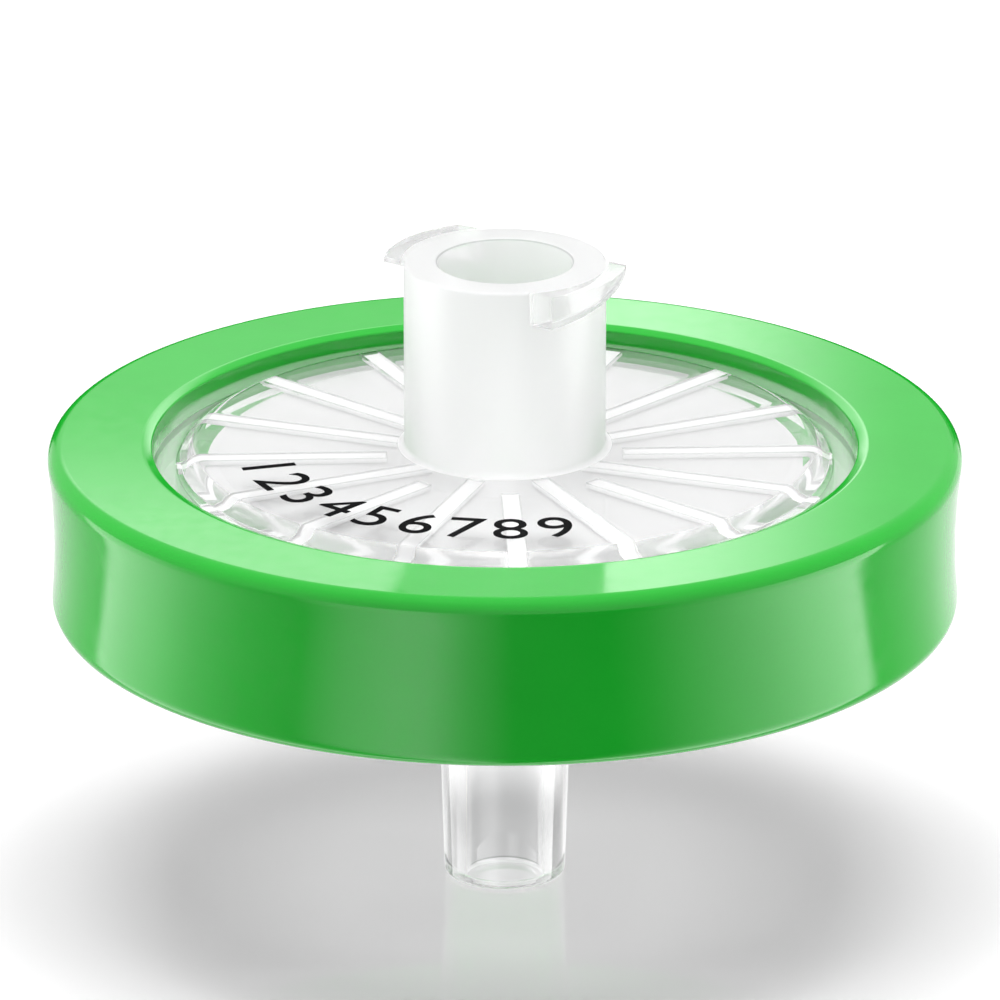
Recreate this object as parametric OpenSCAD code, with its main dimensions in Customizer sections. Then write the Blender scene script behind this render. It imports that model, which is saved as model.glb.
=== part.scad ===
// Disc syringe filter, 30 mm class: a clear welded housing round a membrane, with a Luer-lock inlet on top,
// a Luer-slip outlet below and a ring moulded over the joint. Origin: centre of the outlet tip's end face.

/* [Seal ring] */
// Largest diameter of the ring, at its top edge
ring_d = 29.5; // [29:0.1:32]
// Height of the ring
ring_h = 5.65; // [5.4:0.05:6.4]
// Diameter of the round window, above and below
window_d = 22.76; // [22.4:0.02:23.2]
// Diameter of the shallow bevel round each window, at its outer edge
bevel_d = 23.4; // [23.2:0.02:23.8]
// How far the side dips in at the waist, on the radius
waist_depth = 0.18; // [0.05:0.01:0.3]
// Level of the waist, as a share of the ring's height
waist_level = 0.43; // [0.35:0.01:0.6]
// Radius of the two outer edges
ring_edge_r = 0.5; // [0.3:0.05:0.8]

/* [Inlet hub] */
// Outer diameter of the hub
hub_d = 6.5; // [6.3:0.05:6.7]
// Height of the hub above the window plate
hub_h = 6.24; // [6.2:0.02:8]
// Diameter of the Luer socket at its mouth
socket_d = 4.3; // [4.27:0.005:4.315]
// Distance across the two lugs
lug_span = 7.83; // [7.3:0.01:7.83]
// Thickness of a lug at its thick end
lug_t = 1.08; // [0.95:0.01:1.2]

/* [Window and ribs] */
// Thickness of the window plate at its raised centre pad
plate_t = 1.06; // [0.9:0.02:1.3]
// Diameter of the pad at its foot
pad_d = 20.96; // [20.4:0.02:21.4]
// Depth of the trough between the pad and the ring
trough_depth = 0.39; // [0.2:0.01:0.45]
// Number of flow ribs under the plate, long and short ones by turns
rib_count = 16; // [8:2:24]
// Width of a flow rib
rib_w = 0.6; // [0.3:0.05:0.8]
// Height of the chamber over the membrane
chamber_h = 0.23; // [0.15:0.01:0.4]

/* [Membrane] */
// Diameter of the membrane
membrane_d = 19.24; // [18.6:0.02:19.4]
// Thickness of the membrane
membrane_t = 0.15; // [0.1:0.01:0.2]

/* [Outlet] */
// Diameter of the Luer tip at its end
tip_d = 3.925; // [3.925:0.005:3.99]
// Length of the tip's taper
tip_taper_l = 7.5; // [6:0.1:8]
// Diameter of the hole through the tip
outlet_bore_d = 2.4; // [2:0.1:2.6]
// Length of the tube from its end to the housing
tube_l = 11.85; // [11.2:0.05:14]
// Number of drain channels that lead to the hole
drain_count = 8; // [6:1:12]

/* [Hidden] */

// Luer fittings taper by 6 % of the diameter, and their lock thread rises 5 mm a turn
luer_taper = 0.06;
lug_lead = 5;
lug_thick_side = 2.196;
lug_thin_side = 1.79;
lug_azimuth = -33.4;

// Heights, from the outlet's end face up
flange_t = 0.5;
base_t = 1.5;
chamber_base_z = tube_l + base_t;
membrane_top_z = chamber_base_z + membrane_t;
plate_low_z = membrane_top_z + chamber_h;
plate_top_z = plate_low_z + plate_t;
trough_z = plate_top_z - trough_depth;
hub_top_z = plate_top_z + hub_h;
lower_flange_top_z = tube_l + flange_t;
upper_flange_top_z = lower_flange_top_z + flange_t;
ring_lip_h = 0.14;
ring_top_z = plate_top_z + ring_lip_h;
ring_low_z = ring_top_z - ring_h;

// Radii
window_r = window_d / 2;
hub_r = hub_d / 2;
flange_r = window_r + 1.82;
plug_r = 10.55;
skirt_inner_r = 10.6;
pad_foot_r = pad_d / 2;
tip_r = tip_d / 2;
stem_r = tip_r + tip_taper_l * luer_taper / 2;
outlet_bore_r = outlet_bore_d / 2;

// The socket: a tapered seat, a short straight land below it, then a narrow orifice into the chamber
socket_r = socket_d / 2;
seat_depth = 5.7;
land_l = 1.0;
land_r = socket_r - seat_depth * luer_taper / 2;
orifice_r = 0.6;
mouth_edge = 0.09;

// Small edges
hub_fillet_r = 0.18;
rim_edge_r = 0.1;
pad_edge_r = 0.7;
pad_slope = 45;
bevel_h = 0.1;
tip_edge_r = 0.15;
bore_chamfer = 0.15;
stem_fillet_r = 0.4;

// Ribs and drains. The ribs clear the membrane by a hair, so that it can lift as it swells.
rib_inner_r = [3.8, 2.7];
rib_azimuth = 2.5;
rib_gap = 0.02;
drain_w = 0.6;
drain_depth = 0.35;
drain_reach_r = 8.8;
drain_rings = [2.9, 4.7, 6.5, 8.3];
sump_r = 1.5;

CUT = 0.05;
FAR = 40;
FINE = 720;
$fn = 96;

// A straight-sided block of a section, from radius r0 to r1 and height z0 to z1
module block(r0, r1, z0, z1) {
    translate([r0, z0]) square([r1 - r0, z1 - z0]);
}

// The web between a square corner at [r, z] and the round of edge_r that fits into it. It is cut from an outer
// edge and added to an inner one. sr and sz say on which side of the corner the round lies.
module corner_web(r, z, sr, sz, edge_r) {
    difference() {
        translate([min(r - sr * CUT, r + sr * edge_r), min(z - sz * CUT, z + sz * edge_r)])
            square(edge_r + CUT);
        translate([r + sr * edge_r, z + sz * edge_r]) circle(edge_r);
    }
}

// ---- Inlet housing -------------------------------------------------------------------------------------------

// The pad's half section. Its edge is a round that runs on as a straight slope down to the trough.
module pad_section() {
    round_drop = pad_edge_r * (1 - cos(pad_slope));
    round_end_r = pad_foot_r - (trough_depth - round_drop) / tan(pad_slope);
    flat_r = round_end_r - pad_edge_r * sin(pad_slope);
    polygon([
        [0, trough_z - CUT],
        [pad_foot_r + CUT / tan(pad_slope), trough_z - CUT],
        [round_end_r, plate_top_z - round_drop],
        [flat_r, plate_top_z],
        [0, plate_top_z]
    ]);
    intersection() {
        translate([flat_r, plate_top_z - pad_edge_r]) circle(pad_edge_r);
        block(flat_r - CUT, round_end_r, plate_top_z - round_drop, plate_top_z + CUT);
    }
}

module inlet_section() {
    difference() {
        union() {
            block(0, window_r, plate_low_z, trough_z);
            block(0, hub_r, plate_low_z, hub_top_z);
            pad_section();
            corner_web(hub_r, plate_top_z, 1, 1, hub_fillet_r);
            block(skirt_inner_r, window_r, lower_flange_top_z, plate_low_z + CUT);
            block(skirt_inner_r, flange_r, lower_flange_top_z, upper_flange_top_z);
        }
        corner_web(hub_r, hub_top_z, -1, -1, rim_edge_r);
        block(0, orifice_r, plate_low_z - CUT, hub_top_z);
        block(0, land_r, hub_top_z - seat_depth - land_l, hub_top_z);
    }
}

module socket_seat() {
    translate([0, 0, hub_top_z - seat_depth])
        cylinder(h = seat_depth, r1 = land_r, r2 = socket_r);
    translate([0, 0, hub_top_z - mouth_edge])
        cylinder(h = mouth_edge + CUT, r1 = socket_r, r2 = socket_r + mouth_edge + CUT);
}

// One lug: the part of a disc between two parallel end faces, its underside ramped to the lock thread's lead
module lug() {
    lug_r = lug_span / 2;
    ramp = atan(lug_lead / (2 * PI * (hub_r + lug_r) / 2));
    rotate([0, 0, lug_azimuth])
        difference() {
            translate([0, 0, hub_top_z - lug_t])
                intersection() {
                    cylinder(h = lug_t, r = lug_r);
                    translate([0, -lug_thick_side, 0]) cube([lug_r, lug_thick_side + lug_thin_side, lug_t]);
                }
            translate([-CUT, -lug_thick_side, hub_top_z - lug_t])
                rotate([ramp, 0, 0])
                    translate([0, -FAR / 2, -FAR]) cube([FAR, FAR, FAR]);
        }
}

module ribs() {
    for (i = [0 : rib_count - 1])
        rotate([0, 0, rib_azimuth + 360 * i / rib_count])
            translate([rib_inner_r[i % 2], -rib_w / 2, membrane_top_z + rib_gap])
                cube([skirt_inner_r + CUT - rib_inner_r[i % 2], rib_w, chamber_h - rib_gap + CUT]);
}

module inlet_housing() {
    color("whitesmoke", 0.6)
        difference() {
            union() {
                rotate_extrude() inlet_section();
                for (side = [0, 180]) rotate([0, 0, side]) lug();
                ribs();
            }
            socket_seat();
        }
}

// ---- Outlet housing ------------------------------------------------------------------------------------------

// The taper of the Luer tip, with a round at its end that meets the taper tangentially
module tip_section() {
    lean = atan(luer_taper / 2);
    edge_r = tip_r + tip_edge_r * (tan(lean) - 1 / cos(lean));
    polygon([
        [0, 0],
        [edge_r, 0],
        [edge_r + tip_edge_r * cos(lean), tip_edge_r * (1 - sin(lean))],
        [stem_r, tip_taper_l],
        [stem_r, tip_taper_l + CUT],
        [0, tip_taper_l + CUT]
    ]);
    translate([edge_r, tip_edge_r]) circle(tip_edge_r);
}

module outlet_section() {
    difference() {
        union() {
            block(0, flange_r, tube_l, lower_flange_top_z);
            block(0, plug_r, tube_l, chamber_base_z);
            block(0, stem_r, tip_taper_l, tube_l + CUT);
            tip_section();
            corner_web(stem_r, tube_l, 1, -1, stem_fillet_r);
        }
        block(0, outlet_bore_r, -CUT, chamber_base_z + CUT);
        polygon([
            [0, -CUT],
            [outlet_bore_r + bore_chamfer + CUT, -CUT],
            [outlet_bore_r, bore_chamfer],
            [0, bore_chamfer]
        ]);
    }
}

module drains() {
    floor_z = chamber_base_z - drain_depth;
    translate([0, 0, floor_z]) cylinder(h = drain_depth + CUT, r = sump_r);
    for (i = [0 : drain_count - 1])
        rotate([0, 0, 360 * i / drain_count])
            translate([0, -drain_w / 2, floor_z]) cube([drain_reach_r, drain_w, drain_depth + CUT]);
    for (r = drain_rings)
        translate([0, 0, floor_z])
            difference() {
                cylinder(h = drain_depth + CUT, r = r + drain_w / 2);
                translate([0, 0, -CUT]) cylinder(h = drain_depth + 3 * CUT, r = r - drain_w / 2);
            }
}

module outlet_housing() {
    color("white", 0.5)
        difference() {
            rotate_extrude() outlet_section();
            drains();
        }
}

// ---- Membrane ------------------------------------------------------------------------------------------------

module membrane() {
    color("white")
        translate([0, 0, chamber_base_z]) cylinder(h = membrane_t, d = membrane_d);
}

// ---- Seal ring -----------------------------------------------------------------------------------------------

// The cut for the bevel round a window in the face at height z. side is 1 for the upper face, -1 for the lower.
module window_bevel(z, side) {
    bevel_r = bevel_d / 2;
    polygon([
        [window_r - CUT, z - side * bevel_h],
        [window_r, z - side * bevel_h],
        [bevel_r, z],
        [bevel_r, z + side * CUT],
        [window_r - CUT, z + side * CUT]
    ]);
}

// The side is one shallow hollow arc. Each outer edge is a round that meets the arc tangentially.
module ring_section() {
    waist_z = ring_low_z + waist_level * ring_h;
    waist_r = ring_d / 2 - waist_depth;
    top_edge_z = ring_top_z - ring_edge_r;
    low_edge_z = ring_low_z + ring_edge_r;
    rise = top_edge_z - waist_z;
    tangent_r = (waist_depth * waist_depth + rise * rise) / (2 * waist_depth);
    hollow_r = tangent_r - ring_edge_r;
    hollow_c = waist_r + hollow_r;
    function edge_c(z) = hollow_c - sqrt(tangent_r * tangent_r - pow(z - waist_z, 2));
    function tangent_z(z) = z + ring_edge_r * (waist_z - z) / tangent_r;
    difference() {
        union() {
            difference() {
                block(window_r, FAR, ring_low_z, ring_top_z);
                translate([hollow_c, waist_z]) circle(hollow_r, $fn = FINE);
                block(edge_c(top_edge_z), FAR, tangent_z(top_edge_z), FAR);
                block(edge_c(low_edge_z), FAR, 0, tangent_z(low_edge_z));
            }
            for (edge_z = [top_edge_z, low_edge_z])
                translate([edge_c(edge_z), edge_z]) circle(ring_edge_r);
        }
        block(window_r - CUT, flange_r, tube_l, upper_flange_top_z);
        window_bevel(ring_top_z, 1);
        window_bevel(ring_low_z, -1);
    }
}

module seal_ring() {
    color([0.13, 0.72, 0.2]) rotate_extrude() ring_section();
}

inlet_housing();
outlet_housing();
membrane();
seal_ring();
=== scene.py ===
import math

import bmesh
import bpy
from mathutils import Matrix, Vector


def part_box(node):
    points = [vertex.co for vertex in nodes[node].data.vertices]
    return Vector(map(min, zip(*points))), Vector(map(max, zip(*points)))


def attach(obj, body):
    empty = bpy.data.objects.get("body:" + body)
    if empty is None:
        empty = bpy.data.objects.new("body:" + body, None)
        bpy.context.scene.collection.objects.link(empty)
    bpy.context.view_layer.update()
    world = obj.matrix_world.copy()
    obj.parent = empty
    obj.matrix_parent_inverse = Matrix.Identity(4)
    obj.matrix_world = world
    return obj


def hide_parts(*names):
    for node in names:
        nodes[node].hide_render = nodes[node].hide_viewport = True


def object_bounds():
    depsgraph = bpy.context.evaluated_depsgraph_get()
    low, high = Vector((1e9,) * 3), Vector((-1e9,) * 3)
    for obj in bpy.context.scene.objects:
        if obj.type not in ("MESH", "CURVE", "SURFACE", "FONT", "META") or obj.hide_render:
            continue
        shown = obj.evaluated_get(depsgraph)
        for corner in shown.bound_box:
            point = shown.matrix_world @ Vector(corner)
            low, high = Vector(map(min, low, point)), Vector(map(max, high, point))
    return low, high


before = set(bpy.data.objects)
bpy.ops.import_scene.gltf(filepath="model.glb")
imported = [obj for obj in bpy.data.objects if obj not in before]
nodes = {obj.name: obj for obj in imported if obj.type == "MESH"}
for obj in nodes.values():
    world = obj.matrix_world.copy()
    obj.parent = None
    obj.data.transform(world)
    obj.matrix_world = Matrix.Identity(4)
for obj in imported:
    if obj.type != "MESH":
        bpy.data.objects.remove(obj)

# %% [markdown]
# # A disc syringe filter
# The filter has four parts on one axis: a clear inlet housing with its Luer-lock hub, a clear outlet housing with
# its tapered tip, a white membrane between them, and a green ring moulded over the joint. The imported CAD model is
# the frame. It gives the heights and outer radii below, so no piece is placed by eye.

MM = 0.001
cad_low, cad_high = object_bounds()
print("CAD box in mm:", [round(v / MM, 2) for v in (*cad_low, *cad_high)])


def heights(node):
    """The lowest and highest point of a CAD node, in mm."""
    low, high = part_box(node)
    return low.z / MM, high.z / MM


def radii(node):
    """The smallest and largest distance of a CAD node's points from the axis, in mm."""
    spread = [math.hypot(v.co.x, v.co.y) / MM for v in nodes[node].data.vertices]
    return min(spread), max(spread)


skirt_low, hub_top = heights("inlet_housing")
tip_end, chamber_base = heights("outlet_housing")
membrane_top = heights("membrane")[1]
ring_low, ring_top = heights("seal_ring")
window_r, ring_r = radii("seal_ring")
flange_r = radii("inlet_housing")[1]
print(f"heights in mm: ring {ring_low:.2f} to {ring_top:.2f}, membrane {membrane_top:.2f}, hub {hub_top:.2f}")
print(f"radii in mm: window {window_r:.2f}, flange {flange_r:.2f}, ring {ring_r:.2f}")

# %% [markdown]
# ## Camera
# A long lens from about a third of a metre keeps the ring's ellipses nearly parallel, as in a catalogue picture.
# The camera looks along +Y and down at the window, so that both fittings and the membrane show at once.

# %% Camera
SENSOR_W, CLIP_NEAR, CLIP_FAR = 36, 0.01, 20


def place_camera(name, height, back, pitch, yaw, lens):
    """Adds a camera in front of the part, turned down by pitch and to the right by yaw, in degrees."""
    data = bpy.data.cameras.new(name)
    data.lens, data.sensor_width = lens, SENSOR_W
    data.clip_start, data.clip_end = CLIP_NEAR, CLIP_FAR
    camera = bpy.data.objects.new(name, data)
    camera.location = (0, -back * MM, height * MM)
    camera.rotation_euler = (math.radians(90 - pitch), 0, math.radians(-yaw))
    bpy.context.scene.collection.objects.link(camera)
    bpy.context.scene.camera = camera
    print(name, "lens", lens, "mm, height", round(height, 1), "mm")


place_camera("catalogue_camera", height=ring_top + 116.7, back=320.6, pitch=20.33, yaw=-0.028, lens=380.8)

# %% [markdown]
# ## Turned outlines
# Every moulding is round about one axis, so each is an outline spun once round Z, as a lathe or a round mould
# makes it. The outline's corners are listed as radius and height, each with its round if it has one. A corner's
# round is bevelled while the outline is still flat, and the spin then carries it right round the part. A true arc,
# such as the ring's hollow side, is one point spun in the outline's own plane.

# %% Outline to solid
STEPS, ARC_STEPS, CORNER_STEPS = 240, 14, 6
SAME_SPOT, SAME_POINT = 1e-7, 1e-8


def outline_points(shape, path):
    """Adds the outline's points in order. A step of five numbers is an arc: start, centre and turn."""
    points = []
    for radius, height, *rest in path:
        start = shape.verts.new((radius * MM, 0, height * MM))
        points.append(start)
        if len(rest) == 3:
            centre_r, centre_h, degrees = rest
            known = len(shape.verts)
            bmesh.ops.spin(shape, geom=[start], cent=(centre_r * MM, 0, centre_h * MM), axis=(0, 1, 0),
                           dvec=(0, 0, 0), angle=math.radians(degrees), steps=ARC_STEPS)
            swept = list(shape.verts)[known:]
            points += swept[:-1]
            bmesh.ops.delete(shape, geom=[swept[-1]], context="VERTS")
    return points


def soften(shape, geom, radius, steps, affect="EDGES", **how):
    """Rounds edges or corners with a radius in mm."""
    bmesh.ops.bevel(shape, geom=geom, affect=affect, offset=radius * MM, segments=steps, profile=0.5,
                    material=-1, **how)


def round_corners(shape, path):
    """Rounds the listed corners of a flat outline. The bevel works on points, so the outline stays flat."""
    corners = [c for c in path if len(c) == 3]
    for radius in sorted({c[2] for c in corners}):
        spots = [Vector((c[0] * MM, 0, c[1] * MM)) for c in corners if c[2] == radius]
        picked = [v for v in shape.verts if min((v.co - s).length for s in spots) < SAME_SPOT]
        soften(shape, picked, radius, CORNER_STEPS, "VERTICES")


def spin_outline(path):
    """Spins a closed outline round Z and returns the bmesh of the solid, with its normals outwards."""
    shape = bmesh.new()
    shape.faces.new(outline_points(shape, path))
    round_corners(shape, path)
    bmesh.ops.delete(shape, geom=list(shape.faces), context="FACES_ONLY")
    bmesh.ops.spin(shape, geom=list(shape.verts) + list(shape.edges), cent=(0, 0, 0), axis=(0, 0, 1),
                   dvec=(0, 0, 0), angle=math.tau, steps=STEPS, use_merge=True)
    bmesh.ops.remove_doubles(shape, verts=list(shape.verts), dist=SAME_POINT)
    bmesh.ops.recalc_face_normals(shape, faces=list(shape.faces))
    return shape


def new_piece(name, shape):
    """Makes an object from a bmesh, at the origin, and frees the bmesh."""
    mesh = bpy.data.meshes.new(name)
    shape.to_mesh(mesh)
    shape.free()
    piece = bpy.data.objects.new(name, mesh)
    bpy.context.scene.collection.objects.link(piece)
    return piece


# %% [markdown]
# ## Surface finish of the meshes
# A polished moulding is smooth over its rounds and dead flat on its flats. Welding first takes out the slivers
# that unions leave. Edges sharper than a limit stay sharp, and normals weighted by area keep the flats flat. The
# count of open edges and the volume are printed, because a clear piece has to be closed to bend light rightly.

# %% Smooth shading
WELD, SLIVER, SHARP_FROM, FLAT_WEIGHT = 2e-7, 1e-7, 28, 90


def polish(piece):
    """Welds a moulding, shades it smooth over its rounds and prints what it measures."""
    shape = bmesh.new()
    shape.from_mesh(piece.data)
    bmesh.ops.remove_doubles(shape, verts=list(shape.verts), dist=WELD)
    bmesh.ops.dissolve_degenerate(shape, dist=SLIVER, edges=list(shape.edges))
    shape.to_mesh(piece.data)
    open_edges = sum(not e.is_manifold for e in shape.edges)
    volume = shape.calc_volume() / MM ** 3
    shape.free()
    piece.data.shade_smooth()
    piece.data.set_sharp_from_angle(angle=math.radians(SHARP_FROM))
    normals = piece.modifiers.new("flat_faces_stay_flat", "WEIGHTED_NORMAL")
    normals.keep_sharp, normals.weight = True, FLAT_WEIGHT
    print(piece.name, len(piece.data.polygons), "faces,", open_edges, "open edges,", round(volume, 1), "mm3")


# %% [markdown]
# ## Seal ring
# The green ring is moulded over the two clear flanges, so its inside is a groove that fits them. Its side is one
# shallow hollow arc, and each outer edge is a round that runs into the arc without a corner, which keeps the
# reflections on it unbroken. Both windows have a shallow bevel. The clear mouldings reach a hair into the ring,
# because a real overmoulded joint has no air in it.

# %% Seal ring
HOLD = 0.015
FLANGE_T = 0.5
BEVEL_R, BEVEL_H, SOFT_EDGE, FINE_EDGE = 11.7, 0.1, 0.05, 0.03
WAIST_DEPTH, WAIST_LEVEL, EDGE_R = 0.18, 0.43, 0.5
flange_low, flange_high = skirt_low - FLANGE_T, skirt_low + FLANGE_T


def ring_side():
    """The ring's outer side from bottom to top: lower round, hollow arc, upper round, as three arcs."""
    waist = ring_low + WAIST_LEVEL * (ring_top - ring_low)
    low, high = ring_low + EDGE_R, ring_top - EDGE_R
    reach = (WAIST_DEPTH ** 2 + (high - waist) ** 2) / (2 * WAIST_DEPTH)
    hollow = ring_r - WAIST_DEPTH + reach - EDGE_R
    tilt_low, tilt_high = (math.asin((waist - z) / reach) for z in (low, high))
    core_low, core_high = (hollow - reach * math.cos(t) for t in (tilt_low, tilt_high))
    sweep = math.degrees(tilt_low - tilt_high)
    return [
        (core_low, ring_low, core_low, low, -90 - math.degrees(tilt_low)),
        (core_low + EDGE_R * math.cos(tilt_low), low + EDGE_R * math.sin(tilt_low), hollow, waist, sweep),
        (core_high + EDGE_R * math.cos(tilt_high), high + EDGE_R * math.sin(tilt_high), core_high, high,
         math.degrees(tilt_high) - 90),
        (core_high, ring_top),
    ]


ring = new_piece("ring_band", spin_outline([
    (window_r, ring_low + BEVEL_H, SOFT_EDGE),
    (BEVEL_R, ring_low, SOFT_EDGE),
    *ring_side(),
    (BEVEL_R, ring_top, SOFT_EDGE),
    (window_r, ring_top - BEVEL_H, SOFT_EDGE),
    (window_r, flange_high),
    (flange_r, flange_high),
    (flange_r, flange_low),
    (window_r, flange_low),
]))
polish(ring)

# %% [markdown]
# ## Inlet housing
# One clear moulding: the window plate with its raised centre pad and the trough round it, the skirt and flange that
# the ring grips, and the hub. The pad's edge is a soft round that runs on as a slope, which bends the view of the
# ribs below it. The socket in the hub tapers to a short straight land above a narrow hole into the chamber.

# %% Inlet body
HUB_R, HUB_FILLET, HUB_EDGE = 3.25, 0.18, 0.1
SOCKET_R, SEAT_DEPTH, LAND, LUER_HALF_TAPER = 2.15, 5.7, 1.0, 0.03
LAND_R = SOCKET_R - SEAT_DEPTH * LUER_HALF_TAPER
MOUTH, ORIFICE_R = 0.09, 0.6
SKIRT_R, SKIRT_EDGE, SKIRT_GAP, CHAMBER_H, LIP = 10.6, 0.06, 0.01, 0.23, 0.14
PAD_FOOT, PAD_EDGE, PAD_SLOPE, TROUGH = 10.48, 0.7, 45, 0.39
plate_top, plate_low = ring_top - LIP, membrane_top + CHAMBER_H
trough = plate_top - TROUGH
pad_drop = PAD_EDGE * (1 - math.cos(math.radians(PAD_SLOPE)))
pad_bend = PAD_FOOT - (TROUGH - pad_drop) / math.tan(math.radians(PAD_SLOPE))
pad_flat = pad_bend - PAD_EDGE * math.sin(math.radians(PAD_SLOPE))
print(f"plate from {plate_low:.2f} to {plate_top:.2f} mm, pad flat to a radius of {pad_flat:.2f} mm")

inlet = new_piece("inlet_body", spin_outline([
    (ORIFICE_R, plate_low),
    (SKIRT_R, plate_low, SKIRT_EDGE),
    (SKIRT_R, skirt_low + SKIRT_GAP),
    (flange_r + HOLD, skirt_low + SKIRT_GAP),
    (flange_r + HOLD, flange_high + HOLD),
    (window_r + HOLD, flange_high + HOLD),
    (window_r + HOLD, trough),
    (PAD_FOOT, trough, FINE_EDGE),
    (pad_bend, plate_top - pad_drop, pad_flat, plate_top - PAD_EDGE, -PAD_SLOPE),
    (pad_flat, plate_top),
    (HUB_R, plate_top, HUB_FILLET),
    (HUB_R, hub_top, HUB_EDGE),
    (SOCKET_R + MOUTH, hub_top, FINE_EDGE),
    (SOCKET_R, hub_top - MOUTH, FINE_EDGE),
    (LAND_R, hub_top - SEAT_DEPTH),
    (LAND_R, hub_top - SEAT_DEPTH - LAND, SOFT_EDGE),
    (ORIFICE_R, hub_top - SEAT_DEPTH - LAND),
]))

# %% [markdown]
# ## Joining and cutting
# Lugs and ribs are moulded in one with the housing, so Boolean unions weld them to it. In clear plastic any face
# left inside would show. The drains below are cut by a Boolean difference in the same way.

# %% Joining and cutting
BAR_STEPS = 4


def carve(piece, tools, operation):
    """Joins tools to a piece, or cuts them from it, and keeps the result as the piece's own mesh."""
    for tool in tools:
        step = piece.modifiers.new("carve", "BOOLEAN")
        step.operation, step.solver, step.object = operation, "EXACT", tool
    bpy.context.view_layer.update()
    done = piece.evaluated_get(bpy.context.evaluated_depsgraph_get())
    mesh = bpy.data.meshes.new_from_object(done)
    piece.modifiers.clear()
    old, piece.data = piece.data, mesh
    mesh.name = piece.name
    bpy.data.meshes.remove(old)
    for tool in tools:
        spare = tool.data
        bpy.data.objects.remove(tool)
        bpy.data.meshes.remove(spare)


def turn(shape, degrees):
    """Turns a whole bmesh about the axis."""
    spin = Matrix.Rotation(math.radians(degrees), 3, "Z")
    bmesh.ops.rotate(shape, cent=(0, 0, 0), matrix=spin, verts=list(shape.verts))


def make_bar(name, start, end, width, low, high, degrees, soft=0.0):
    """A bar along a radius. Its lower edges are rounded when soft is given."""
    shape = bmesh.new()
    size = Vector((end - start, width, high - low)) * MM
    middle = Vector(((end + start) / 2, 0, (high + low) / 2)) * MM
    place = Matrix.Translation(middle) @ Matrix.Diagonal((*size, 1))
    bmesh.ops.create_cube(shape, size=1, matrix=place)
    if soft:
        half_way = middle.z
        soften(shape, [e for e in shape.edges if all(v.co.z < half_way for v in e.verts)], soft, BAR_STEPS)
    turn(shape, degrees)
    return new_piece(name, shape)


# %% [markdown]
# ## Lugs
# The two lugs catch a syringe's lock thread. Each is a piece of a disc with two parallel ends, ramped underneath to
# the thread's rise, so cutting a short cylinder with planes gives its true shape. Their outer edges are softened
# a little, as on any moulding.

# %% Lugs
LUG_R, LUG_T, LUG_LEAD, LUG_ROOT = 3.915, 1.08, 5.0, 2.3
LUG_THICK, LUG_THIN, LUG_TURN = 2.196, 1.79, -33.4
LUG_SINK, LUG_SOFT, LUG_SOFT_STEPS, LUG_FREE = 0.004, 0.05, 3, 0.12
CREASE, CUT_DIST, LUG_WELD = 0.6, 1e-9, 1e-6


def trim(shape, point, outward):
    """Cuts away what lies beyond a plane and closes the cut."""
    cut = bmesh.ops.bisect_plane(shape, geom=list(shape.verts) + list(shape.edges) + list(shape.faces),
                                 dist=CUT_DIST, plane_co=Vector(point) * MM, plane_no=outward,
                                 clear_outer=True)
    rim = [e for e in cut["geom_cut"] if isinstance(e, bmesh.types.BMEdge)]
    bmesh.ops.edgeloop_fill(shape, edges=rim)


def is_free_crease(edge):
    """Whether an edge is a sharp one that stands clear of the hub."""
    clear = min(v.co.xy.length for v in edge.verts) > (HUB_R + LUG_FREE) * MM
    return clear and edge.calc_face_angle(0) > CREASE


def make_lug(name, degrees):
    """A disc's edge trimmed to two parallel ends, with its underside ramped to the thread's lead."""
    shape = bmesh.new()
    low = hub_top - LUG_T - LUG_SINK
    bmesh.ops.create_cone(shape, cap_ends=True, segments=STEPS, radius1=LUG_R * MM, radius2=LUG_R * MM,
                          depth=LUG_T * MM, matrix=Matrix.Translation((0, 0, (low + LUG_T / 2) * MM)))
    ramp = math.atan(LUG_LEAD / (math.pi * (HUB_R + LUG_R)))
    trim(shape, (LUG_ROOT, 0, 0), (-1, 0, 0))
    trim(shape, (0, -LUG_THICK, 0), (0, -1, 0))
    trim(shape, (0, LUG_THIN, 0), (0, 1, 0))
    trim(shape, (0, -LUG_THICK, low), (0, math.sin(ramp), -math.cos(ramp)))
    soften(shape, list(filter(is_free_crease, shape.edges)), LUG_SOFT, LUG_SOFT_STEPS, clamp_overlap=True)
    turn(shape, degrees)
    bmesh.ops.remove_doubles(shape, verts=list(shape.verts), dist=LUG_WELD)
    bmesh.ops.recalc_face_normals(shape, faces=list(shape.faces))
    return new_piece(name, shape)


lugs = [make_lug("lug_a", LUG_TURN), make_lug("lug_b", LUG_TURN + 180)]
print("lugs:", [len(lug.data.polygons) for lug in lugs], "faces")

# %% [markdown]
# ## Ribs
# The ribs under the plate hold the membrane down and lead the flow outwards. They are bars with rounded lower
# edges, long and short by turns, and they reach a little into the skirt and the plate so that the union has no
# faces that only touch.

# %% Ribs
RIB_COUNT, RIB_W, RIB_GAP, RIB_TURN, RIB_SOFT = 16, 0.6, 0.02, 2.5, 0.07
RIB_STARTS, RIB_ROOT = (3.8, 2.7), 0.05
ribs = [
    make_bar(f"rib_{i:02d}", RIB_STARTS[i % 2], SKIRT_R + RIB_ROOT, RIB_W, membrane_top + RIB_GAP,
             plate_low + RIB_ROOT, RIB_TURN + 360 * i / RIB_COUNT, RIB_SOFT)
    for i in range(RIB_COUNT)
]
carve(inlet, lugs + ribs, "UNION")
polish(inlet)

# %% [markdown]
# ## Outlet housing
# The lower half carries the membrane on a face cut by round and straight drains, which all lead to the tube's hole.
# The round drains are part of the turned outline. The straight ones are long bars cut out afterwards. The tube is a
# plain stem above a tapered tip, with a small round where it meets the plate.

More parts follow.
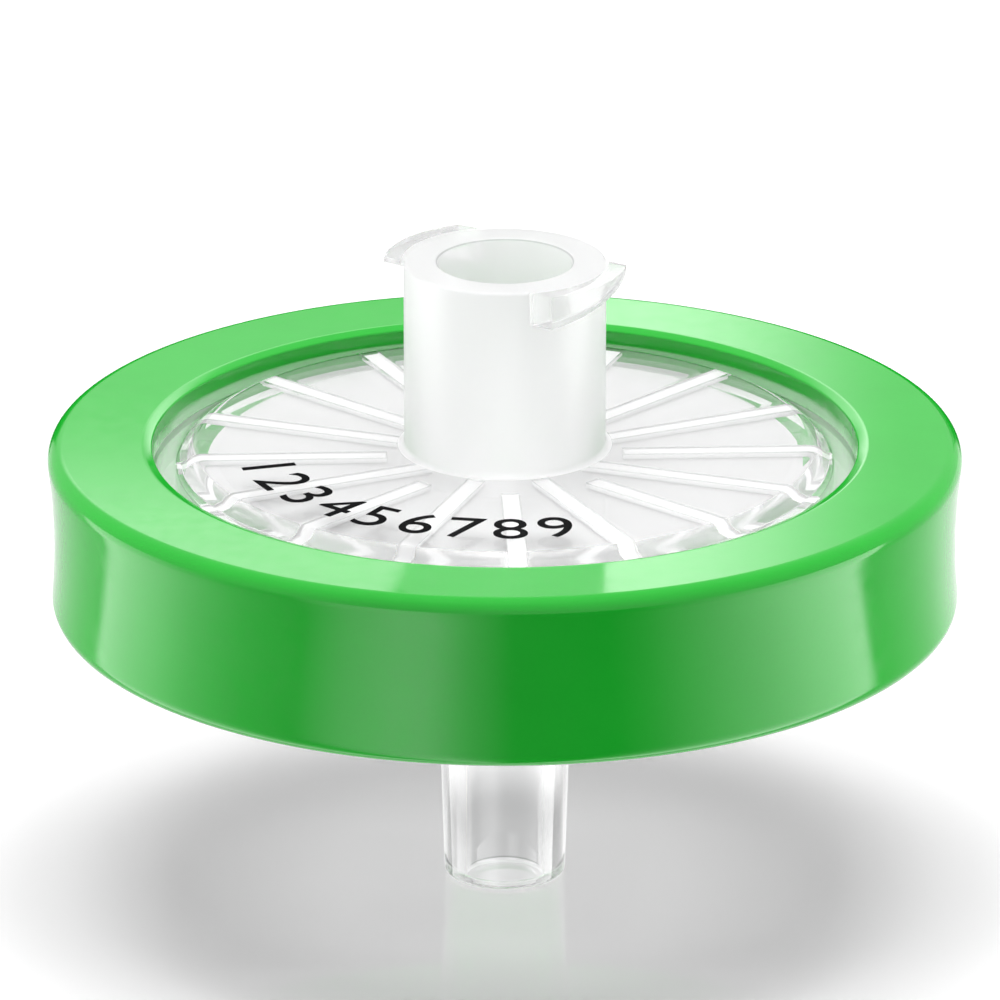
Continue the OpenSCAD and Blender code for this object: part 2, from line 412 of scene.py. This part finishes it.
# %% Outlet body
TIP_R, TAPER_L, STEM_R, BORE_R, STEM_FILLET = 1.9625, 7.5, 2.1875, 1.2, 0.4
TIP_ROUND, BORE_FLARE = 0.15, 0.15
PLUG_R, SEAT_GAP = 10.55, 0.005
DRAIN_W, DRAIN_DEPTH, DRAIN_REACH, DRAIN_COUNT, DRAIN_SOFT = 0.6, 0.35, 8.8, 8, 0.08
DRAIN_RINGS, DRAIN_TOOL_H, SUMP_R = (2.9, 4.7, 6.5, 8.3), 1.0, 1.5
seat = chamber_base - SEAT_GAP
groove = seat - DRAIN_DEPTH
face = [(BORE_R, groove), (SUMP_R, groove), (SUMP_R, seat)]
for middle in DRAIN_RINGS:
    inner, outer = middle - DRAIN_W / 2, middle + DRAIN_W / 2
    face += [(inner, seat), (inner, groove, DRAIN_SOFT), (outer, groove, DRAIN_SOFT), (outer, seat)]
outlet = new_piece("outlet_body", spin_outline([
    *face,
    (PLUG_R, seat, SOFT_EDGE),
    (PLUG_R, skirt_low),
    (flange_r + HOLD, skirt_low),
    (flange_r + HOLD, flange_low - HOLD),
    (window_r + HOLD, flange_low - HOLD),
    (window_r + HOLD, flange_low),
    (STEM_R, flange_low, STEM_FILLET),
    (STEM_R, TAPER_L),
    (TIP_R, tip_end, TIP_ROUND),
    (BORE_R + BORE_FLARE, tip_end, FINE_EDGE),
    (BORE_R, tip_end + BORE_FLARE, SOFT_EDGE),
]))
drains = [
    make_bar(f"drain_{i}", -DRAIN_REACH, DRAIN_REACH, DRAIN_W, groove, groove + DRAIN_TOOL_H,
             360 * i / DRAIN_COUNT)
    for i in range(DRAIN_COUNT // 2)
]
carve(outlet, drains, "DIFFERENCE")
polish(outlet)

# %% [markdown]
# ## Printed scale
# The pad carries a small black print. Here it is a plain dial scale of the numbers 1 to 9 in an arc, about a
# hundredth of a millimetre thick, as pad printing leaves ink on a surface. Each number is a text curve made into a
# mesh. Real thickness gives the ink its own edge and a faint shadow, which a painted colour has not.

# %% Printed scale
INK_T, INK_GAP, DIGIT_H, DIGIT_R, DIGIT_WELD = 0.012, 0.001, 1.75, 7.0, 1e-6
SCALE_FROM, SCALE_TO, NUMBERS = -74.0, 12.0, "123456789"
CURVE_STEPS = 6


def ink_digit(digit):
    """One numeral as a bmesh a unit thick, centred on its width, standing on the X axis."""
    curve = bpy.data.curves.new("digit", "FONT")
    curve.body, curve.align_x, curve.size = digit, "CENTER", 1.0
    curve.extrude, curve.resolution_u = 0.5, CURVE_STEPS
    spare = bpy.data.objects.new("digit", curve)
    bpy.context.scene.collection.objects.link(spare)
    bpy.context.view_layer.update()
    mesh = bpy.data.meshes.new_from_object(spare.evaluated_get(bpy.context.evaluated_depsgraph_get()))
    bpy.data.objects.remove(spare)
    bpy.data.curves.remove(curve)
    shape = bmesh.new()
    shape.from_mesh(mesh)
    bpy.data.meshes.remove(mesh)
    bmesh.ops.remove_doubles(shape, verts=list(shape.verts), dist=DIGIT_WELD)
    return shape


def add_to(whole, shape):
    """Moves a bmesh into another one."""
    mesh = bpy.data.meshes.new("part")
    shape.to_mesh(mesh)
    shape.free()
    whole.from_mesh(mesh)
    bpy.data.meshes.remove(mesh)


def print_scale():
    """All the numbers as one mesh. Their feet point away from the hub, so they read from the front."""
    whole = bmesh.new()
    spacing = (SCALE_TO - SCALE_FROM) / (len(NUMBERS) - 1)
    foot = Vector((0, -(DIGIT_R + DIGIT_H), plate_top + INK_T / 2 + INK_GAP)) * MM
    for i, digit in enumerate(NUMBERS):
        shape = ink_digit(digit)
        tall = max(v.co.y for v in shape.verts)
        grow = DIGIT_H / tall * MM
        bmesh.ops.scale(shape, vec=(grow, grow, INK_T * MM), verts=list(shape.verts))
        bmesh.ops.translate(shape, vec=foot, verts=list(shape.verts))
        turn(shape, SCALE_FROM + spacing * i)
        add_to(whole, shape)
    bmesh.ops.recalc_face_normals(whole, faces=list(whole.faces))
    return whole


scale = new_piece("printed_scale", print_scale())
print("printed scale:", len(scale.data.polygons), "faces")

# %% [markdown]
# ## Material tools
# Every finish is a node material that reads the piece's own coordinates, so its grain keeps its true size in
# millimetres and follows the piece. A few small helpers keep each recipe short enough to read as one. The first
# ones make nodes, wire them, and turn a place or a noise into a value or a colour.

# %% Material tools
LOW_NOISE, HIGH_NOISE = 0.3, 0.7


def new_material(name):
    """An empty node material and its tree."""
    material = bpy.data.materials.new(name)
    material.use_nodes = True
    material.node_tree.nodes.clear()
    return material, material.node_tree


def add(tree, kind, **values):
    """A new node. Each value goes to the input of that name, or else to the node's own setting."""
    node = tree.nodes.new(kind)
    for key, value in values.items():
        if key in node.inputs.keys():
            node.inputs[key].default_value = value
        else:
            setattr(node, key, value)
    return node


def feed(tree, node, slot, value):
    """Gives an input a number, a node's first output, or the named output of a (node, name) pair."""
    if isinstance(value, (int, float)):
        node.inputs[slot].default_value = value
    else:
        source, out = value if isinstance(value, tuple) else (value, 0)
        tree.links.new(source.outputs[out], node.inputs[slot])
    return node


def remap(tree, source, span, result, kind="SMOOTHSTEP"):
    """Moves a value softly from one range to another and holds it beyond the ends."""
    node = add(tree, "ShaderNodeMapRange", interpolation_type=kind)
    for name, value in zip(("From Min", "From Max", "To Min", "To Max"), (*span, *result)):
        node.inputs[name].default_value = value
    return feed(tree, node, "Value", source)


def fade(tree, source, start, end, first=0.0, last=1.0):
    """Goes softly from the first value to the last between two places given in mm."""
    return remap(tree, source, (start * MM, end * MM), (first, last))


def vary(tree, noise, low, high):
    """Spreads the middle of a noise between two values."""
    return remap(tree, noise, (LOW_NOISE, HIGH_NOISE), (low, high))


def tint(tree, source, low, high):
    """A colour between two, by a value between 0 and 1."""
    ramp = add(tree, "ShaderNodeValToRGB")
    for element, place, colour in zip(ramp.color_ramp.elements, (LOW_NOISE, HIGH_NOISE), (low, high)):
        element.position, element.color = place, (*colour, 1)
    return feed(tree, ramp, 0, source)


def object_place(tree):
    """The point's place in the piece's own coordinates."""
    return add(tree, "ShaderNodeTexCoord"), "Object"


def grain(tree, size, detail=3.0):
    """Noise in the piece's own coordinates with spots of about the given size in mm."""
    noise = add(tree, "ShaderNodeTexNoise", Scale=1 / (size * MM), Detail=detail)
    return feed(tree, noise, "Vector", object_place(tree))


def split_up(tree, vector):
    """The X, Y and Z of a vector."""
    return feed(tree, add(tree, "ShaderNodeSeparateXYZ"), "Vector", vector)


# %% [markdown]
# ## Sums and mixtures
# The rest of the helpers do sums on values, set a bump on a shader, and mix or add whole shaders. A value can be a
# plain number or a node, so a recipe reads like a formula.

# %% Sums and mixtures
def combine(tree, operation, first, second):
    """One operation on two values."""
    node = add(tree, "ShaderNodeMath", operation=operation)
    feed(tree, node, 0, first)
    return feed(tree, node, 1, second)


def product(tree, first, *others):
    """Several values multiplied."""
    for value in others:
        first = combine(tree, "MULTIPLY", first, value)
    return first


def largest(tree, first, *others):
    """The largest of several values."""
    for value in others:
        first = combine(tree, "MAXIMUM", first, value)
    return first


def blend(tree, factor, first, second):
    """Goes from the first value to the second as the factor goes from 0 to 1."""
    node = add(tree, "ShaderNodeMix", data_type="FLOAT")
    for name, value in (("Factor", factor), ("A", first), ("B", second)):
        feed(tree, node, name, value)
    return node


def relief(tree, source, shader, height, strength):
    """A bump of the given height in mm on a shader."""
    bump = add(tree, "ShaderNodeBump", Distance=height * MM, Strength=strength)
    feed(tree, shader, "Normal", feed(tree, bump, "Height", source))


def mix_shaders(tree, factor, first, second):
    """Goes from the first shader to the second as the factor goes from 0 to 1."""
    node = add(tree, "ShaderNodeMixShader")
    for slot, value in enumerate((factor, first, second)):
        feed(tree, node, slot, value)
    return node


def add_shaders(tree, first, second):
    """Both shaders' light together."""
    return feed(tree, feed(tree, add(tree, "ShaderNodeAddShader"), 0, first), 1, second)


def output(tree, shader, kind="ShaderNodeOutputMaterial"):
    """Ends a node tree."""
    feed(tree, add(tree, kind), "Surface", shader)


# %% [markdown]
# ## Green ring finish
# The ring is opaque coloured polypropylene with a glossy moulded skin. Its colour is even but not perfectly so:
# the pigment drifts a little over millimetres and is speckled very finely. The skin has the faint orange peel that
# a polished mould leaves, which softens the edges of the reflections.

# %% Green ring finish
PLASTIC_IOR = 1.5
GREEN_LOW, GREEN_HIGH = (0.0150, 0.530, 0.033), (0.0175, 0.572, 0.037)
DRIFT_SIZE, SPECKLE_SIZE, SPECKLE_SHARE, GLOSS_SIZE, PEEL_SIZE = 3.0, 0.12, 0.2, 0.6, 0.9
RING_ROUGH = (0.08, 0.14)
PEEL_H, PEEL_STRENGTH = 0.002, 0.25


def ring_finish():
    """Glossy green plastic."""
    material, tree = new_material("ring_green")
    shader = add(tree, "ShaderNodeBsdfPrincipled", IOR=PLASTIC_IOR)
    drift, speckle = grain(tree, DRIFT_SIZE), grain(tree, SPECKLE_SIZE, 1.0)
    pigment = blend(tree, SPECKLE_SHARE, drift, speckle)
    feed(tree, shader, "Base Color", tint(tree, pigment, GREEN_LOW, GREEN_HIGH))
    feed(tree, shader, "Roughness", vary(tree, grain(tree, GLOSS_SIZE), *RING_ROUGH))
    relief(tree, grain(tree, PEEL_SIZE, 2.0), shader, PEEL_H, PEEL_STRENGTH)
    output(tree, shader)
    return material


# %% [markdown]
# ## Milk and frost
# Both housings are clear where they are thick and flat, and milky or frosted elsewhere. The hub is blasted in the
# mould, so it is frosted and looks almost white, while its thin lugs stay half clear. A thin grey line of painted
# shade runs round the socket's mouth, for the dark edge that bent light shows there. The ribs are milky, because a
# thin section cools fastest, and so is the trough's floor. The chamber side of the plate is faintly matt inside the
# membrane's edge. Each of these is worked out from a point's height and its distance from the axis, both in the
# piece's own coordinates.

# %% Milk and frost
# Milk is the share of light that the plastic scatters, frost is its roughness, and shade is what it keeps back from a
# shadow ray. The other values are distances in mm from the edges of the shapes above.
HUB_MILK, RIB_MILK, TROUGH_MILK = 0.45, 0.8, 0.15
FROST, CHAMBER_MATT, RIM_SHADE, MILK_SHADE = 0.4, 0.13, 0.25, 0.5
LUG_CLEAR, LUG_BLEND, LUG_BELOW, LUG_BLUR = 0.6, 0.15, 1.4, 0.2
FOOT_FROM, FOOT_TO, FOOT_LOW, FOOT_HIGH, HUB_BLUR = 0.1, 0.25, 0.5, 0.1, 0.1
RIB_SIDE, RIB_TOP = (0.06, 0.02), (0.05, 0.01)
BAND_FROM, BAND_TO, BAND_END = 0.05, 0.25, 0.25
SKIN_LOW, SKIN_HIGH, MATT_FROM, MATT_TO, RIM_FROM, RIM_TO = 0.01, 0.03, 9.25, 9.4, 9.6, 9.9
# The mouth's painted shade line: its strength, then where it rises and where it falls, in mm outside the socket.
MOUTH_PAINTED_SHADE, MOUTH_RISE, MOUTH_FALL = 0.5, (0.01, 0.03), (0.06, 0.08)
TRACE_MILK, TRACE_SIZE = 0.01, 2.0


def distance_from_axis(tree):
    """A point's own distance from the Z axis."""
    flat = add(tree, "ShaderNodeVectorMath", operation="MULTIPLY")
    feed(tree, flat, 0, object_place(tree))
    flat.inputs[1].default_value = (1, 1, 0)
    return feed(tree, add(tree, "ShaderNodeVectorMath", operation="LENGTH"), 0, flat), "Value"


def lug_level(tree, height):
    """1 in the hub's topmost stretch, which holds the lugs and the socket's mouth."""
    return fade(tree, height, hub_top - LUG_BELOW, hub_top - LUG_BELOW + LUG_BLUR)


def hub_share(tree, height, reach):
    """1 in the hub, less in its lugs and 0 in the plate. The boundary drops into the plate below the hub."""
    foot = fade(tree, reach, HUB_R + FOOT_FROM, HUB_R + FOOT_TO, plate_top - FOOT_LOW, plate_top + FOOT_HIGH)
    above = combine(tree, "SUBTRACT", height, product(tree, foot, MM))
    beyond = fade(tree, reach, HUB_R, HUB_R + LUG_BLEND, 0, LUG_CLEAR)
    clear = product(tree, beyond, lug_level(tree, height))
    return product(tree, fade(tree, above, -HUB_BLUR, HUB_BLUR), combine(tree, "SUBTRACT", 1.0, clear))


def rib_share(tree, height, reach):
    """1 in the ribs, which are all that lies below the plate and inside the skirt."""
    inside = fade(tree, reach, *(SKIRT_R - d for d in RIB_SIDE), 1, 0)
    return product(tree, inside, fade(tree, height, *(plate_low - d for d in RIB_TOP), 1, 0))


def milk_of_inlet(tree):
    """How milky the inlet housing is, how frosted, how much shadow it casts, and where its painted shade line runs.
    """
    height = (split_up(tree, object_place(tree)), "Z")
    reach = distance_from_axis(tree)
    hub, rib = hub_share(tree, height, reach), rib_share(tree, height, reach)
    milk = combine(tree, "ADD", product(tree, hub, HUB_MILK), product(tree, rib, RIB_MILK))
    band = product(tree, fade(tree, reach, PAD_FOOT + BAND_FROM, PAD_FOOT + BAND_TO, 0, TROUGH_MILK),
                   fade(tree, reach, window_r - BAND_END, window_r, 1, 0))
    milk = largest(tree, milk, band)
    skin = fade(tree, height, plate_low + SKIN_LOW, plate_low + SKIN_HIGH, CHAMBER_MATT / FROST, 0)
    matt = product(tree, skin, fade(tree, reach, MATT_FROM, MATT_TO, 1, 0))
    # Painted shade: a thin grey line in the base colour just outside the socket's mouth, in the hub's top stretch.
    painted_shade_line = product(tree, fade(tree, reach, *(SOCKET_R + d for d in MOUTH_RISE)),
                   fade(tree, reach, *(SOCKET_R + d for d in MOUTH_FALL), MOUTH_PAINTED_SHADE, 0),
                   lug_level(tree, height))
    return milk, largest(tree, hub, rib, matt), product(tree, milk, MILK_SHADE), painted_shade_line


def milk_of_outlet(tree):
    """The outlet housing is clear, but outside the membrane its thick rim takes some light from the shadow."""
    milk = vary(tree, grain(tree, TRACE_SIZE), 0.0, TRACE_MILK)
    return milk, 0, fade(tree, distance_from_axis(tree), RIM_FROM, RIM_TO, 0, RIM_SHADE), 0


# %% [markdown]
# ## Clear plastic
# Clear plastic isn't like glass: the melt leaves faint ripples and a trace of haze. Light for shadows passes
# straight through, since traced shadows of bent light would need far more samples than a part this small is
# worth. What the milk and the thick rim outside the membrane keep back is taken off it.

# %% Clear plastic
# The first colour is painted shade for the grey line at the socket's mouth; the second is the plastic's own faint
# tint.
PAINTED_SHADE_COLOUR, CLEAR_COLOUR = (0.3, 0.31, 0.31), (0.99, 0.993, 0.993)
HAZE, HAZE_SIZE, RIPPLE_SIZE, RIPPLE_H, RIPPLE_STRENGTH = 0.02, 1.5, 2.5, 0.002, 0.15


def clear_plastic(name, milk_of):
    """Clear plastic with the given function's milk, frost, shadow and painted shade line."""
    material, tree = new_material(name)
    shader = add(tree, "ShaderNodeBsdfPrincipled", IOR=PLASTIC_IOR)
    milk, frost, shade, painted_shade_line = milk_of(tree)
    # The base colour goes to the painted shade colour along the painted line at the socket's mouth.
    body = tint(tree, combine(tree, "SUBTRACT", 1.0, painted_shade_line), PAINTED_SHADE_COLOUR, CLEAR_COLOUR)
    feed(tree, shader, "Base Color", body)
    feed(tree, shader, "Transmission Weight", combine(tree, "SUBTRACT", 1.0, milk))
    haze = vary(tree, grain(tree, HAZE_SIZE), 0.0, HAZE)
    feed(tree, shader, "Roughness", combine(tree, "ADD", haze, product(tree, frost, FROST)))
    relief(tree, grain(tree, RIPPLE_SIZE, 1.0), shader, RIPPLE_H, RIPPLE_STRENGTH)
    path = add(tree, "ShaderNodeLightPath")
    straight = largest(tree, (path, "Is Shadow Ray"), (path, "Is Diffuse Ray"))
    through = add(tree, "ShaderNodeBsdfTransparent")
    feed(tree, through, "Color", combine(tree, "SUBTRACT", 1.0, shade))
    output(tree, mix_shaders(tree, straight, shader, through))
    return material


# %% [markdown]
# ## Membrane
# The membrane is a sheet of fine open pores. Up close it is matt white with a felt-like grain, and it lets some
# light through to the housing below.

# %% Membrane
FELT_LOW, FELT_HIGH = (0.85, 0.85, 0.853), (0.90, 0.90, 0.90)
FELT_SIZE, FELT_H, FELT_STRENGTH, FELT_ROUGH, FELT_THROUGH = 0.06, 0.01, 0.4, 0.85, 0.62
CLOUD_SIZE, CLOUD_SHARE = 2.2, 0.4


def membrane_finish():
    """Matt white felt that lets a share of the light through."""
    material, tree = new_material("membrane_white")
    shader = add(tree, "ShaderNodeBsdfPrincipled", Roughness=FELT_ROUGH)
    felt, cloud = grain(tree, FELT_SIZE, 4.0), grain(tree, CLOUD_SIZE)
    feed(tree, shader, "Base Color", tint(tree, blend(tree, CLOUD_SHARE, felt, cloud), FELT_LOW, FELT_HIGH))
    relief(tree, felt, shader, FELT_H, FELT_STRENGTH)
    through = add(tree, "ShaderNodeBsdfTransparent", Color=(*[FELT_THROUGH] * 3, 1))
    output(tree, mix_shaders(tree, (add(tree, "ShaderNodeLightPath"), "Is Shadow Ray"), shader, through))
    return material


# %% [markdown]
# ## Ink
# Pad-printing ink is black and dries nearly matt. The film varies slightly in thickness, which shows as a little
# difference in shine and density within the strokes.

# %% Ink
INK_LOW, INK_HIGH = (0.002, 0.002, 0.002), (0.006, 0.006, 0.007)
INK_ROUGH, INK_SHINE = (0.32, 0.48), 0.01
FILM_SIZE, FILM_H, FILM_STRENGTH = 0.15, 0.002, 0.5


def ink_finish():
    """Nearly matt black ink."""
    material, tree = new_material("ink_black")
    shader = add(tree, "ShaderNodeBsdfPrincipled", **{"IOR": PLASTIC_IOR, "Specular IOR Level": INK_SHINE})
    film = grain(tree, FILM_SIZE)
    feed(tree, shader, "Base Color", tint(tree, film, INK_LOW, INK_HIGH))
    feed(tree, shader, "Roughness", vary(tree, film, *INK_ROUGH))
    relief(tree, film, shader, FILM_H, FILM_STRENGTH)
    output(tree, shader)
    return material


# %% [markdown]
# ## Finishes and places
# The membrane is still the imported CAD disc, a plain sheet that needs only its finish. The other three solids are
# replaced by the pieces made above. Nothing moves, so every piece rides on the one root body.

# %% Finishes and places
nodes["membrane"].data.materials[0] = membrane_finish()
scale.data.materials.append(ink_finish())
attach(scale, "root")
for piece, node, slot, finish in (
    (ring, "seal_ring", "ring_plastic", ring_finish()),
    (inlet, "inlet_housing", "inlet_plastic", clear_plastic("inlet_clear", milk_of_inlet)),
    (outlet, "outlet_housing", "outlet_plastic", clear_plastic("outlet_clear", milk_of_outlet)),
):
    piece.data.materials.append(finish)
    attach(piece, "root")
    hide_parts(node)
    print(piece.name, "stands for", node)

# %% [markdown]
# ## Floor
# The part stands on its tip over a white floor that takes its shadow. The floor mirrors only a small area round the
# tip, where a polished table would show it, and far out it is plain white, so it has no horizon. The ring is
# hidden from the floor's bounced light, so the shadow stays grey instead of taking the ring's green.

# %% Floor
FLOOR_GAP, FLOOR_HALF_M, FLOOR_ROUGH, FLOOR_LIFT = 0.02, 3.0, 0.04, 0.13
MIRROR_R, MIRROR_EDGE, MIRROR_SHINE, WHITE_FROM, WHITE_TO = 4, 14, 0.5, 60, 150


def floor_finish():
    """White with a little extra diffuse white on top, mirroring near the tip, and plain white far out."""
    material, tree = new_material("floor_white")
    shader = add(tree, "ShaderNodeBsdfPrincipled", **{
        "Base Color": (1, 1, 1, 1), "Roughness": FLOOR_ROUGH, "IOR": PLASTIC_IOR})
    reach = add(tree, "ShaderNodeVectorMath", operation="LENGTH")
    reach = (feed(tree, reach, 0, object_place(tree)), "Value")
    feed(tree, shader, "Specular IOR Level", fade(tree, reach, MIRROR_R, MIRROR_EDGE, MIRROR_SHINE, 0))
    lift = add(tree, "ShaderNodeBsdfDiffuse", Color=(*[FLOOR_LIFT] * 3, 1))
    far = fade(tree, reach, WHITE_FROM, WHITE_TO)
    white = add(tree, "ShaderNodeEmission", Strength=1.0)
    output(tree, mix_shaders(tree, far, add_shaders(tree, shader, lift), white))
    return material


def add_floor():
    """One large square just under the tip, unseen by reflections and bounced light."""
    shape = bmesh.new()
    level = Matrix.Translation((0, 0, cad_low.z - FLOOR_GAP * MM))
    bmesh.ops.create_grid(shape, x_segments=1, y_segments=1, size=FLOOR_HALF_M, matrix=level)
    floor = new_piece("floor", shape)
    floor.data.materials.append(floor_finish())
    floor.visible_glossy = floor.visible_diffuse = False


add_floor()
ring.visible_diffuse = False
print("floor", FLOOR_GAP, "mm below the tip, mirroring within", MIRROR_EDGE, "mm of it")

# %% [markdown]
# ## Studio light
# One square softbox hangs above the part and gives the soft shadow. A second one stands in front and to the left
# and lights the hub alone, and a tiny lamp at the hub's foot stands in for the light that the plate pipes up into
# it. The world is the rest of the studio. It is white to the camera and through the clear plastic, dimmer as fill
# light with brighter panels at both sides, and for reflections it is bright above and striped below the horizon,
# like a light tent with dark gaps between its panels. The stripes give the ring's side and the tube their light
# and dark bands.

# %% Studio light
SKY_REFLECTION, STRIPE_TOP, SKY_SEEN = 0.95, 6.0, 1.0
FILL_ABOVE, FILL_BELOW, SIDES_ABOVE, SIDES_BELOW = 0.12, 0.40, 0.7, 3.0
HORIZON, SIDE_PANELS = (-0.02, 0.02), (0.55, 0.85)
STRIPES = [
    (-180, 1.5), (-126, 0.8), (-123, 3.6), (-100, 2.6), (-86, 1.5), (-70, 0.6), (-54, 0.3), (-41, 2.0),
    (-27, 3.0), (-19, 2.9), (-9, 1.2), (2, 0.1), (28, 0.0), (38, 0.4), (52, 1.4), (67, 2.6), (83, 4.0),
    (104, 5.2), (107, 0.6), (150, 1.5), (180, 1.5),
]


def striped_panels(tree, split):
    """The tent's brightness by compass direction, counted from the front in degrees to the right."""
    bearing = combine(tree, "ARCTAN2", (split, "X"), product(tree, (split, "Y"), -1))
    ramp = add(tree, "ShaderNodeValToRGB")
    feed(tree, ramp, "Fac", remap(tree, bearing, (-math.pi, math.pi), (0, 1), "LINEAR"))
    stops = ramp.color_ramp.elements
    stops.remove(stops[-1])
    for i, (degrees, level) in enumerate(STRIPES):
        place = (degrees + 180) / 360
        stop = stops[0] if i == 0 else stops.new(place)
        stop.position = place
        stop.color = (*[level / STRIPE_TOP] * 3, 1)
    return product(tree, ramp, STRIPE_TOP)


def fill_light(tree, split, below):
    """What diffuse surfaces get: a dim sky, a brighter light from below, and panels at both sides."""
    sideways = remap(tree, combine(tree, "ABSOLUTE", (split, "X"), 0), SIDE_PANELS, (0, 1))
    panels = product(tree, sideways, blend(tree, below, SIDES_ABOVE, SIDES_BELOW))
    return combine(tree, "ADD", blend(tree, below, FILL_ABOVE, FILL_BELOW), panels)


def studio_world():
    """The world's strength, chosen by what kind of ray looks at it."""
    world = bpy.data.worlds.new("studio")
    bpy.context.scene.world = world
    world.use_nodes = True
    tree = world.node_tree
    tree.nodes.clear()
    split = split_up(tree, (add(tree, "ShaderNodeTexCoord"), "Generated"))
    below = remap(tree, (split, "Z"), HORIZON, (1, 0))
    path = add(tree, "ShaderNodeLightPath")
    seen = blend(tree, (path, "Is Diffuse Ray"), SKY_SEEN, fill_light(tree, split, below))
    unbent = combine(tree, "SUBTRACT", 1.0, (path, "Is Transmission Ray"))
    mirrored = product(tree, (path, "Is Glossy Ray"), unbent)
    reflection = blend(tree, below, SKY_REFLECTION, striped_panels(tree, split))
    back = add(tree, "ShaderNodeBackground")
    output(tree, feed(tree, back, "Strength", blend(tree, mirrored, seen, reflection)), "ShaderNodeOutputWorld")


def keep_to(light, piece):
    """Links a light, or a glowing card, to one piece alone."""
    light.light_linking.receiver_collection = bpy.data.collections.new(light.name + "_reach")
    light.light_linking.receiver_collection.objects.link(piece)


def softbox(name, size, power, place, only=None):
    """A square lamp aimed at the window, unseen by the camera and by reflections. It can be kept to one piece."""
    data = bpy.data.lights.new(name, "AREA")
    data.shape, data.size, data.energy = "SQUARE", size, power
    lamp = bpy.data.objects.new(name, data)
    lamp.location = place
    aim = Vector((0, 0, ring_top * MM)) - Vector(place)
    lamp.rotation_euler = aim.to_track_quat("-Z", "Y").to_euler()
    lamp.visible_glossy = lamp.visible_camera = False
    bpy.context.scene.collection.objects.link(lamp)
    if only:
        keep_to(lamp, only)
    print(name, "of", power, "W, a square of", round(size / MM), "mm")


studio_world()
softbox("top_softbox", size=0.5, power=3.9, place=(0, 0.05, 0.6))
softbox("hub_softbox", size=0.4, power=0.85, place=(-0.12, -0.38, 0.22), only=inlet)
softbox("hub_foot_light", size=0.003, power=0.00014, place=(0.0005, -0.010, 0.0164), only=inlet)

# %% [markdown]
# ## Cards
# A black card stands low behind the part, so that the floor mirrors the tube and not the bright tent behind it.
# A glowing card stands above it where the ring's flat top mirrors it. It is brightest to the right of the hub and
# fades towards the right edge, and on the left only its upper part glows, so the top changes tone round the circle
# as it does under a real softbox. Light linking keeps it to the ring, because the window should stay clear.

# %% Cards
CARD_BACK, CARD_LOW, CARD_HIGH, CARD_HALF, BLACK_HIGH = 60, 8, 44, 36, 14
RIGHT_GLOW, LEFT_GLOW, LEFT_REST = 2.1, 1.35, 0.08
RIGHT_FADE, LEFT_FADE, MIDDLE_FADE, EDGE_FADE_FROM, TOP_FADE_FROM = (5.3, 15.6), (20.8, 26), (-3, 3), 20, 30


def upright_card(name, low, high, finish):
    """An upright card behind the part that only reflections see."""
    shape = bmesh.new()
    centre = Vector((0, CARD_BACK, (low + high) / 2)) * MM
    spread = Matrix.Diagonal((2 * CARD_HALF * MM, (high - low) * MM, 1, 1))
    place = Matrix.Translation(centre) @ Matrix.Rotation(math.pi / 2, 4, "X") @ spread
    bmesh.ops.create_grid(shape, x_segments=1, y_segments=1, size=0.5, matrix=place)
    card = new_piece(name, shape)
    card.data.materials.append(finish)
    card.visible_camera = card.visible_diffuse = card.visible_transmission = card.visible_shadow = False
    return card


def black_cloth():
    """Cloth that reflects nothing."""
    material, tree = new_material("black_cloth")
    output(tree, add(tree, "ShaderNodeBsdfDiffuse", Color=(0, 0, 0, 1)))
    return material


def soft_glow():
    """Light from the card alone, which is clear besides, so that nothing behind it is hidden."""
    material, tree = new_material("soft_glow")
    split = split_up(tree, object_place(tree))
    right = fade(tree, (split, "X"), *RIGHT_FADE, RIGHT_GLOW, 0)
    left = fade(tree, (split, "Z"), *(ring_top + h for h in LEFT_FADE), LEFT_REST, LEFT_GLOW)
    edge = fade(tree, combine(tree, "ABSOLUTE", (split, "X"), 0), EDGE_FADE_FROM, CARD_HALF, 1, 0)
    rim = fade(tree, (split, "Z"), ring_top + TOP_FADE_FROM, ring_top + CARD_HIGH, 1, 0)
    glow = product(tree, blend(tree, fade(tree, (split, "X"), *MIDDLE_FADE), left, right), edge, rim)
    shine = feed(tree, add(tree, "ShaderNodeEmission"), "Strength", glow)
    output(tree, add_shaders(tree, shine, add(tree, "ShaderNodeBsdfTransparent")))
    return material


upright_card("black_card", cad_low.z / MM, BLACK_HIGH + ring_top, black_cloth())
keep_to(upright_card("reflector_card", ring_top + CARD_LOW, ring_top + CARD_HIGH, soft_glow()), ring)
print("cards", CARD_BACK, "mm behind the axis and", 2 * CARD_HALF, "mm wide")

# %% [markdown]
# ## Picture settings
# Light crosses many clear surfaces in the window and the tube, so the bounce limits are raised until no dark
# spots are left in them. The plain view transform keeps the white white.

# %% Picture settings
ALL_BOUNCES, CLEAR_BOUNCES = 20, 16
scene = bpy.context.scene
scene.view_settings.view_transform = "Standard"
cycles = scene.cycles
cycles.max_bounces = ALL_BOUNCES
cycles.glossy_bounces = cycles.transmission_bounces = cycles.transparent_max_bounces = CLEAR_BOUNCES
print("bounces:", ALL_BOUNCES, "in all,", CLEAR_BOUNCES, "of one kind")
